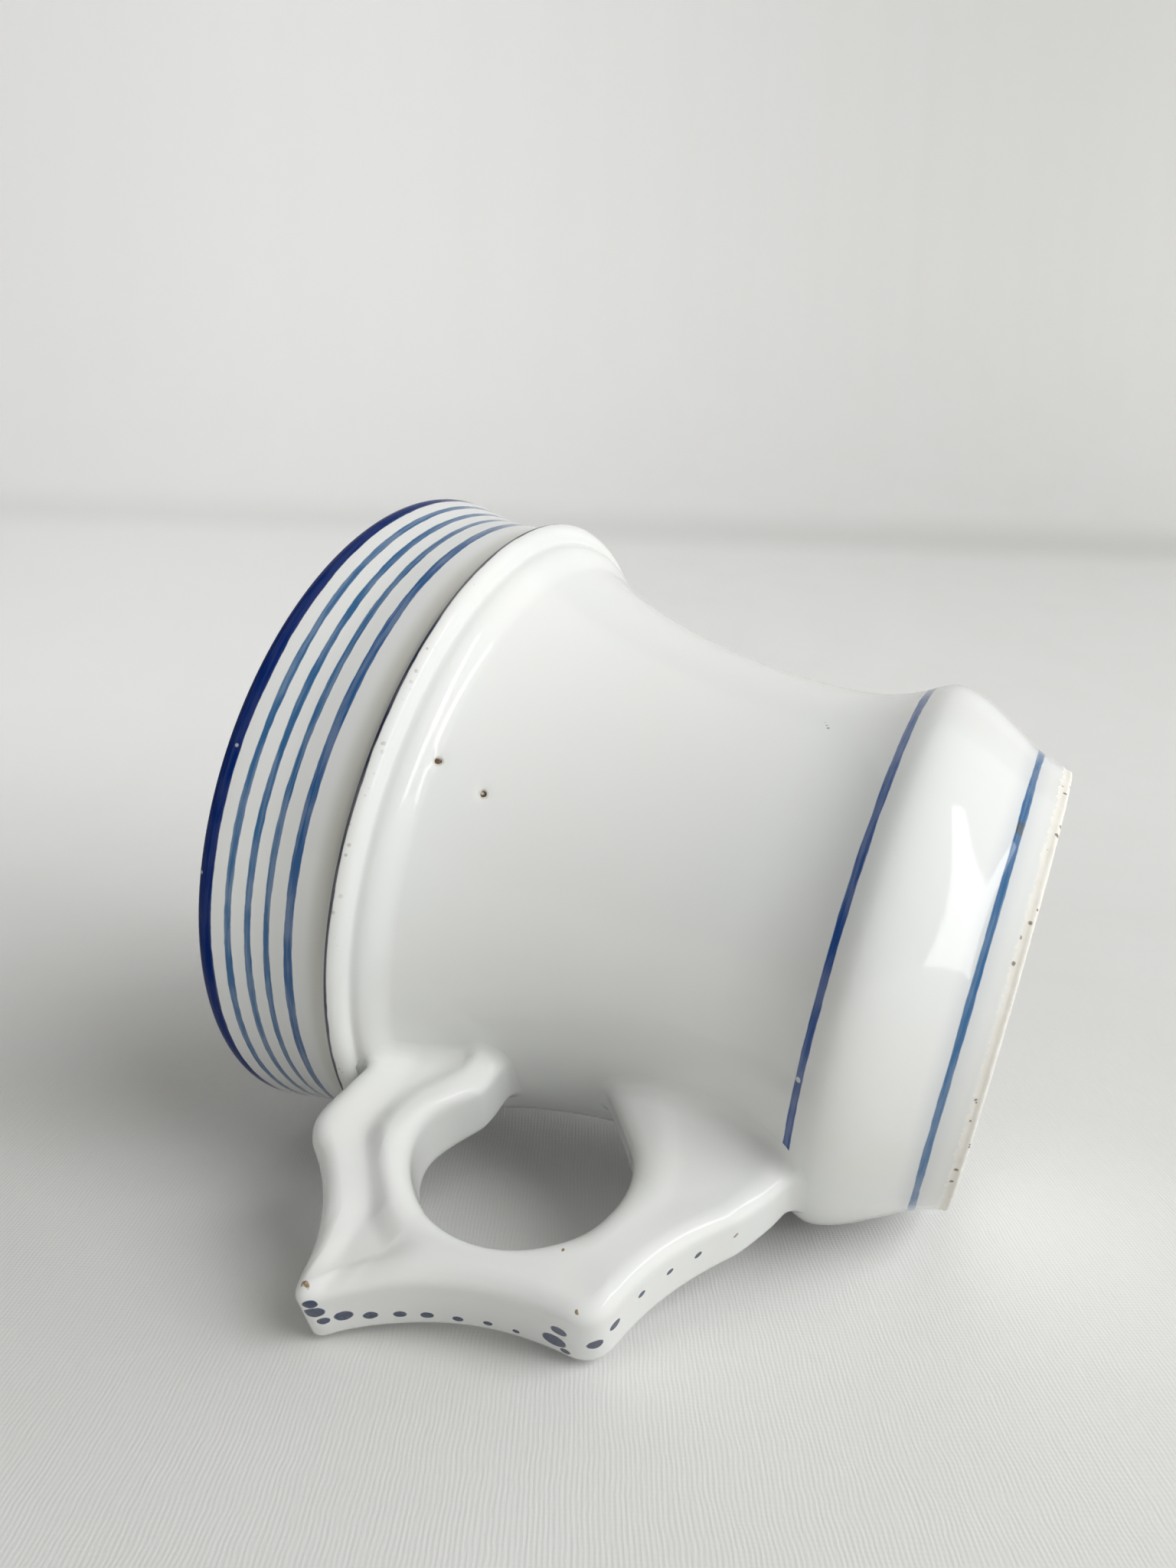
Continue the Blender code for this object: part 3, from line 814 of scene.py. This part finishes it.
def speckGroup():
    # scattered specks: kiln grit, iron spots, grime
    tree, given, mask = newGroup("kilnSpecks", "Mask", Scale=200.0, Size=0.03, Share=0.1)
    cells = addNode(tree, "ShaderNodeTexVoronoi", {"Vector": objectSpot(tree), "Scale": given["Scale"]})
    pick = addNode(tree, "ShaderNodeSeparateColor", {0: cells.outputs["Color"]}).outputs
    size = calc(tree, "MULTIPLY", given["Size"], calc(tree, "MULTIPLY_ADD", pick[1], *dabs["speckSizes"]))
    chosen = calc(tree, "LESS_THAN", pick[0], given["Share"])
    edge = calc(tree, "MULTIPLY", size, dabs["speckCore"])
    speck = fade(tree, cells.outputs["Distance"], edge, size, 1.0, 0.0)
    tree.links.new(calc(tree, "MULTIPLY", speck, chosen), mask)
    return tree


def spotGroup():
    # one dab of colour at a place, with an uneven edge
    tree, given, mask = newGroup("paintDab", "Mask", Centre=None, Radius=0.001, Ragged=0.0001)
    spot = objectSpot(tree)
    away = vectorMath(tree, "DISTANCE", spot, given["Centre"], "Value")
    ragged = calc(tree, "MULTIPLY", swing(tree, spot, dabs["raggedScale"]), given["Ragged"])
    edge = calc(tree, "MULTIPLY", given["Radius"], dabs["core"])
    tree.links.new(fade(tree, calc(tree, "ADD", away, ragged), edge, given["Radius"], 1.0, 0.0), mask)
    return tree


def glazeGroup():
    # the pooled, faintly uneven skin of a dipped glaze
    tree, given, height = newGroup("glazeSkin", "Height", Fine=0.25)
    spot = objectSpot(tree)
    fine = calc(tree, "MULTIPLY", noiseAt(tree, spot, skin["fineScale"]), given["Fine"])
    tree.links.new(calc(tree, "ADD", noiseAt(tree, spot, skin["broadScale"]), fine), height)
    return tree


paintedLine, brushStreaks, kilnSpecks = paintedLineGroup(), brushGroup(), speckGroup()
paintDab, glazeSkin = spotGroup(), glazeGroup()

glazeLook = {
    "white": (0.805, 0.818, 0.800), "cool": (0.780, 0.802, 0.795), "warm": (0.800, 0.795, 0.760),
    "coolScale": 28, "coolRange": (0.40, 0.72), "warmScale": 60, "warmRange": (0.55, 0.80),
    "speck": (0.16, 0.12, 0.08), "speckShare": 0.75, "iron": (0.22, 0.13, 0.06), "ironShare": 0.8,
    "gloss": 0.045, "glossChange": 0.05, "glossScale": 240, "bareRough": 0.8, "ior": 1.52,
    "mirror": 0.5, "lipMirror": 0.03,
}
cobalt = {
    "rim": (0.0005, 0.0190, 0.140), "thin": (0.024, 0.120, 0.280), "fifth": (0.011, 0.092, 0.265),
    "step": (0.008, 0.012, 0.050), "bulge": (0.003, 0.062, 0.275), "bulgePale": (0.050, 0.115, 0.310),
    "foot": (0.026, 0.125, 0.290), "footPatch": (0.055, 0.070, 0.090),
    "dot": (0.008, 0.018, 0.060), "dotThin": (0.040, 0.085, 0.180),
}
bands = (   # height, half width, wander, colour
    ("rim", 0.08600, 0.00240, 0.00012, "rim"),
    ("second", 0.08165, 0.00040, 0.00014, "thin"),
    ("third", 0.07930, 0.00040, 0.00014, "thin"),
    ("fourth", 0.07695, 0.00040, 0.00014, "thin"),
    ("fifth", 0.07400, 0.00058, 0.00014, "fifth"),
    ("step", 0.06822, 0.00032, 0.00010, "step"),
    ("bulge", 0.01750, 0.00045, 0.00012, "bulge"),
    ("foot", 0.00390, 0.00039, 0.00012, "foot"),
)
rimLevel, rimHalf, rimWander = bands[0][1:4]
rings = {   # height, inner and outer reach, strength
    # the ring in the cove above the step is painted shade
    "bleed": (0.0040, 0.0, 0.0022, 0.16), "paintedCoveShade": (0.0696, 0.0004, 0.0026, 0.62),
    "grime": (0.0677, 0.0003, 0.0010, 0.45),
}
stains = {
    "paintedCoveShade": (0.56, 0.555, 0.49), "grime": (0.33, 0.27, 0.19), "pitEdge": (0.42, 0.33, 0.20),
    "pit": (0.105, 0.066, 0.030), "scratch": (0.24, 0.22, 0.12), "chip": (0.30, 0.21, 0.11),
}
bareClay = {
    "cream": (0.80, 0.77, 0.69), "pale": (0.87, 0.86, 0.81), "brown": (0.42, 0.31, 0.18),
    "grit": (0.16, 0.10, 0.05), "raggedScale": 1300, "ragged": 0.0017, "rough": (0.72, 0.92),
}


def glazeStart(name):
    # white porcelain glaze before its decoration
    material, tree, shader = newMaterial(name)
    spot = objectSpot(tree)
    cool = fade(tree, noiseAt(tree, spot, glazeLook["coolScale"]), *glazeLook["coolRange"])
    colour = blendColour(tree, cool, glazeLook["white"], glazeLook["cool"])
    warm = fade(tree, noiseAt(tree, spot, glazeLook["warmScale"], 3), *glazeLook["warmRange"])
    colour = blendColour(tree, warm, colour, glazeLook["warm"])
    specks = useGroup(tree, kilnSpecks, Scale=230.0, Size=0.030, Share=0.05)
    colour = stained(tree, colour, specks, glazeLook["speckShare"], glazeLook["speck"])
    iron = useGroup(tree, kilnSpecks, Scale=95.0, Size=0.018, Share=0.06)
    colour = stained(tree, colour, iron, glazeLook["ironShare"], glazeLook["iron"])
    return material, tree, shader, spot, colour


def glazeEnd(tree, shader, spot, colour, bare=None):
    gloss = noiseAt(tree, spot, glazeLook["glossScale"], 3)
    gloss = calc(tree, "MULTIPLY_ADD", gloss, glazeLook["glossChange"], glazeLook["gloss"])
    if bare is not None:
        gloss = calc(tree, "MAXIMUM", gloss, calc(tree, "MULTIPLY", bare, glazeLook["bareRough"]))
    tree.links.new(gloss, shader.inputs["Roughness"])
    tree.links.new(colour, shader.inputs["Base Color"])
    shader.inputs["IOR"].default_value = glazeLook["ior"]
    addBump(tree, shader, useGroup(tree, glazeSkin, Fine=skin["fine"]), skin["strength"], skin["depth"])


def paintOver(tree, colour, mask, paint, density, thin):
    # paint that shows the white through its thin streaks
    cover = calc(tree, "MULTIPLY", mask, fade(tree, density, 0.0, 1.0, 1.0 - thin, 1.0))
    return blendColour(tree, cover, colour, paint)


def bandedGlaze(name, mirror):
    material, tree, shader, spot, colour = glazeStart(name)
    shader.inputs["Specular IOR Level"].default_value = mirror
    parts = addNode(tree, "ShaderNodeSeparateXYZ", {0: spot}).outputs
    density = useGroup(tree, brushStreaks, Across=brush["across"])
    # blue that has bled into the glaze pooled above the foot
    colour = blendColour(tree, ringAt(tree, parts["Z"], *rings["bleed"]), colour, cobalt["thin"])
    # painted shade: a greyer band darkens the cove above the step, where the shoulder's edge shades it
    colour = blendColour(tree, ringAt(tree, parts["Z"], *rings["paintedCoveShade"]), colour, stains["paintedCoveShade"])
    grime = useGroup(tree, kilnSpecks, Scale=1500.0, Size=0.35, Share=0.30)
    grime = calc(tree, "MULTIPLY", grime, ringAt(tree, parts["Z"], *rings["grime"]))
    patchy = fade(tree, noiseAt(tree, spot, 130), 0.45, 0.65)
    colour = stained(tree, colour, grime, patchy, stains["grime"])
    for line, level, half, wander, paint in bands:
        mask = useGroup(tree, paintedLine, Level=level, HalfWidth=half, Wander=wander)
        paintColour, thin = cobalt[paint], brush["thin"]
        if line == "rim":
            worn = useGroup(tree, kilnSpecks, Scale=620.0, Size=0.16, Share=0.10)
            left = calc(tree, "SUBTRACT", 1.0, calc(tree, "MULTIPLY", worn, 0.55))
            mask = calc(tree, "MULTIPLY", mask, left)
            thin = brush["rimThin"]
        elif line == "bulge":
            clear = fade(tree, calc(tree, "ABSOLUTE", parts["Y"]), *cupMarks["lineGap"])
            clear = calc(tree, "MAXIMUM", clear, calc(tree, "LESS_THAN", parts["X"], 0.0))
            place, size = cupMarks["lineBreak"]
            gap = useGroup(tree, paintDab, Centre=place, Radius=size)
            mask = calc(tree, "MULTIPLY", mask, calc(tree, "MULTIPLY_ADD", gap, -0.8, clear), clamp=True)
            upper = fade(tree, parts["X"], -0.005, 0.022)
            paintColour = blendColour(tree, upper, cobalt["bulgePale"], cobalt["bulge"])
        elif line == "foot":
            place, size = cupMarks["footPatch"]
            dark = useGroup(tree, paintDab, Centre=place, Radius=size)
            paintColour = stained(tree, cobalt["foot"], dark, 0.8, cobalt["footPatch"])
        colour = paintOver(tree, colour, mask, paintColour, density, thin)
    for place, size in cupMarks["pits"]:
        place = onWall(place)
        edge = useGroup(tree, paintDab, Centre=place, Radius=size * 1.5, Ragged=0.0006)
        colour = stained(tree, colour, edge, 0.35, stains["pitEdge"])
        hole = useGroup(tree, paintDab, Centre=place, Radius=size, Ragged=0.0004)
        colour = blendColour(tree, hole, colour, stains["pit"])
    for place in cupMarks["scratch"]:
        mark = useGroup(tree, paintDab, Centre=place, Radius=0.00022, Ragged=0.0003)
        colour = stained(tree, colour, mark, 0.7, stains["scratch"])
    # the glaze was wiped off along the standing edge
    ragged = swing(tree, spot, bareClay["raggedScale"], 4, 0.7)
    level = calc(tree, "ADD", parts["Z"], calc(tree, "MULTIPLY", ragged, bareClay["ragged"]))
    bare = fade(tree, level, cupMarks["bareEdge"] * 0.8, cupMarks["bareEdge"], 1.0, 0.0)
    colour = blendColour(tree, bare, colour, bareColour(tree, spot))
    glazeEnd(tree, shader, spot, colour, bare)
    return material


def bareColour(tree, spot):
    # fired clay without glaze, with grit and brown stains
    colour = blendColour(tree, noiseAt(tree, spot, 900, 3), bareClay["cream"], bareClay["pale"])
    stain = fade(tree, noiseAt(tree, spot, 170, 3), 0.58, 0.74)
    colour = stained(tree, colour, stain, 0.55, bareClay["brown"])
    grit = useGroup(tree, kilnSpecks, Scale=1300.0, Size=0.30, Share=0.22)
    return stained(tree, colour, grit, 0.8, bareClay["grit"])


def insideGlaze():
    material, tree, shader, spot, colour = glazeStart("insideGlaze")
    density = useGroup(tree, brushStreaks, Across=brush["across"])
    mask = useGroup(tree, paintedLine, Level=rimLevel, HalfWidth=rimHalf * 0.8, Wander=rimWander)
    colour = paintOver(tree, colour, mask, cobalt["rim"], density, brush["insideThin"])
    glazeEnd(tree, shader, spot, colour)
    return material


def bareFoot():
    material, tree, shader = newMaterial("bareFoot")
    spot = objectSpot(tree)
    tree.links.new(bareColour(tree, spot), shader.inputs["Base Color"])
    rough = fade(tree, noiseAt(tree, spot, 700, 3), 0.3, 0.7, *bareClay["rough"])
    tree.links.new(rough, shader.inputs["Roughness"])
    addBump(tree, shader, noiseAt(tree, spot, 1600, 4, 0.65), 0.5, 0.0002)
    return material


handleDots = (   # place on the outer edge and radius, in mm
    ((67.1, 3.3, 54.1), 0.80), ((67.1, 1.5, 54.0), 1.10), ((66.9, -0.6, 53.6), 0.75),
    ((65.7, -0.5, 52.0), 1.05), ((64.2, -1.5, 50.0), 0.85), ((62.8, -2.0, 47.5), 0.72),
    ((61.6, -2.4, 45.1), 0.74), ((60.5, -2.9, 42.2), 0.62), ((59.6, -2.8, 39.2), 0.55),
    ((59.1, -3.0, 36.3), 0.42), ((58.8, 1.2, 31.4), 0.95), ((58.8, -1.6, 32.1), 1.40),
    ((58.8, -3.2, 31.0), 0.60), ((57.8, -0.6, 28.1), 0.95), ((55.8, 0.7, 26.8), 0.75),
    ((52.3, 1.1, 25.4), 0.55), ((48.8, 0.4, 23.8), 0.55), ((45.6, -0.7, 22.0), 0.60),
)
handleChips = (
    ((66.7, 5.5, 54.7), 0.70), ((41.7, -1.7, 19.4), 0.55), ((52.3, 5.5, 63.3), 0.35),
    ((57.9, 5.5, 54.8), 0.22), ((63.9, 5.8, 50.7), 0.20), ((40.4, 5.3, 18.7), 0.24),
    ((58.1, 5.5, 29.5), 0.40), ((53.1, 5.7, 33.4), 0.25),
)


def dottedGlaze():
    material, tree, shader, spot, colour = glazeStart("dottedGlaze")
    density = fade(tree, noiseAt(tree, spot, 1100, 3), 0.35, 0.65)
    paint = stained(tree, cobalt["dot"], density, 0.45, cobalt["dotThin"])
    dots = None
    for place, radius in handleDots:
        dab = useGroup(tree, paintDab, Centre=Vector(place) * mm, Radius=radius * mm, Ragged=0.00025)
        dots = dab if dots is None else calc(tree, "MAXIMUM", dots, dab)
    colour = blendColour(tree, dots, colour, paint)
    broken = fade(tree, noiseAt(tree, spot, 1400, 3), 0.40, 0.58)
    for place, radius in handleChips:
        chip = useGroup(tree, paintDab, Centre=Vector(place) * mm, Radius=radius * mm, Ragged=0.0009)
        colour = stained(tree, colour, chip, broken, stains["chip"])
    glazeEnd(tree, shader, spot, colour)
    return material


cloth = {
    "wanderScale": 140, "wander": 0.0010, "weftShare": 0.9, "warpDepth": 0.34, "weftDepth": 0.18,
    "slubDrawn": (2400, 140, 1), "slubDepth": 1.6, "weaveNear": -0.06, "weaveFar": 0.16, "weaveTone": 0.22,
    "toneScale": 30, "toneRange": (0.2, 1.0), "foldShadowDepth": 0.55,
    "roughness": 0.95, "mirror": 0.1, "bump": (0.35, 0.00006),
}


def clothMaterial(axes):
    # fine linen, seen only from above; painted light: the cloth glows for the eye and in reflections, more
    # towards the back and on the left, and lights nothing
    origin, right, away = axes[:3]
    material, tree, shader = newMaterial("paleCloth")
    spot = objectSpot(tree)

    def along(axis):
        dot = vectorMath(tree, "DOT_PRODUCT", spot, axis, "Value")
        return calc(tree, "SUBTRACT", dot, origin.dot(axis))

    across, back = along(right), along(away)
    flat = addNode(tree, "ShaderNodeCombineXYZ", {"X": across, "Y": back}).outputs[0]
    wander = calc(tree, "MULTIPLY", swing(tree, flat, cloth["wanderScale"], 3), cloth["wander"])
    turns = 2 * math.pi / table["thread"]
    warp = calc(tree, "SINE", calc(tree, "MULTIPLY", calc(tree, "ADD", across, wander), turns))
    weftTurns = turns * cloth["weftShare"]
    weft = calc(tree, "SINE", calc(tree, "MULTIPLY", calc(tree, "ADD", back, wander), weftTurns))
    slub = noiseAt(tree, vectorMath(tree, "MULTIPLY", flat, cloth["slubDrawn"]), 1.0, 3, 0.6)
    weft = calc(tree, "MULTIPLY", weft, cloth["weftDepth"])
    weave = calc(tree, "MULTIPLY_ADD", warp, cloth["warpDepth"], weft)
    weave = calc(tree, "MULTIPLY_ADD", slub, cloth["slubDepth"], weave)
    near = fade(tree, back, cloth["weaveNear"], cloth["weaveFar"], 1.0, 0.0)
    weaveTone = calc(tree, "MULTIPLY", calc(tree, "MULTIPLY", weave, near), cloth["weaveTone"])
    tone = calc(tree, "ADD", noiseAt(tree, flat, cloth["toneScale"]), weaveTone)
    colour = blendColour(tree, fade(tree, tone, *cloth["toneRange"]), table["colour"], table["shade"])
    # painted shadow: a darker band along the fold where the cloth turns up into the backdrop
    foldShadow = ringAt(tree, back, table["foldShadow"], 0.0, table["foldShadowHalf"], cloth["foldShadowDepth"])
    colour = blendColour(tree, foldShadow, colour, table["foldPaintedShadow"])
    tree.links.new(colour, shader.inputs["Base Color"])
    shader.inputs["Roughness"].default_value = cloth["roughness"]
    shader.inputs["Specular IOR Level"].default_value = cloth["mirror"]
    addBump(tree, shader, weave, *cloth["bump"])
    # painted light: an emitted glow, seen but lighting nothing, lifts the cloth most towards the back and
    # on the left
    path = addNode(tree, "ShaderNodeLightPath").outputs
    seen = calc(tree, "ADD", path["Is Camera Ray"], path["Is Glossy Ray"])
    seen = calc(tree, "ADD", seen, path["Is Transmission Ray"], clamp=True)
    paintedLightBack = fade(tree, back, table["paintedLightFrom"], table["paintedLightTo"], *table["paintedLight"])
    side = fade(tree, across, -table["paintedLightSide"], table["paintedLightSide"], *table["paintedLightSides"])
    paintedLight = calc(tree, "MULTIPLY", calc(tree, "MULTIPLY", paintedLightBack, side), seen)
    tree.links.new(blendColour(tree, paintedLight, (0, 0, 0), (1, 1, 1)), shader.inputs["Emission Color"])
    shader.inputs["Emission Strength"].default_value = 1.0
    sight = addNode(tree, "ShaderNodeNewGeometry")
    clear = addNode(tree, "ShaderNodeBsdfTransparent")
    mix = addNode(tree, "ShaderNodeMixShader", {"Fac": sight.outputs["Backfacing"]})
    tree.links.new(shader.outputs[0], mix.inputs[1])
    tree.links.new(clear.outputs[0], mix.inputs[2])
    tree.links.new(mix.outputs[0], tree.nodes["Material Output"].inputs["Surface"])
    return material


bpy.context.scene.view_settings.view_transform = "Standard"
camera = makeCamera()
axes = tableAxes(camera)
makeTable(axes, clothMaterial(axes))
makeLight("windowLight", axes, windowLight)
makeLight("skyLight", axes, skyLight)
makeLight("sideLight", axes, sideLight)
makeRoom(axes)
print("stage set")

# the lip's line mirrors less than the rest, so that it stays dark
glazes = [bandedGlaze("bandedGlaze", glazeLook["mirror"]), insideGlaze(), bareFoot(),
          bandedGlaze("lipGlaze", glazeLook["lipMirror"])]
cupBody = makeCupBody(glazes)
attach(cupBody, "root")
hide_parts("cup_body")
print("cup body", len(cupBody.data.polygons), "faces")

starHandle = makeHandle([dottedGlaze()])
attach(starHandle, "root")
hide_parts("handle", "upper_slip_joint", "lower_slip_joint")
print("handle", len(starHandle.data.polygons), "faces")
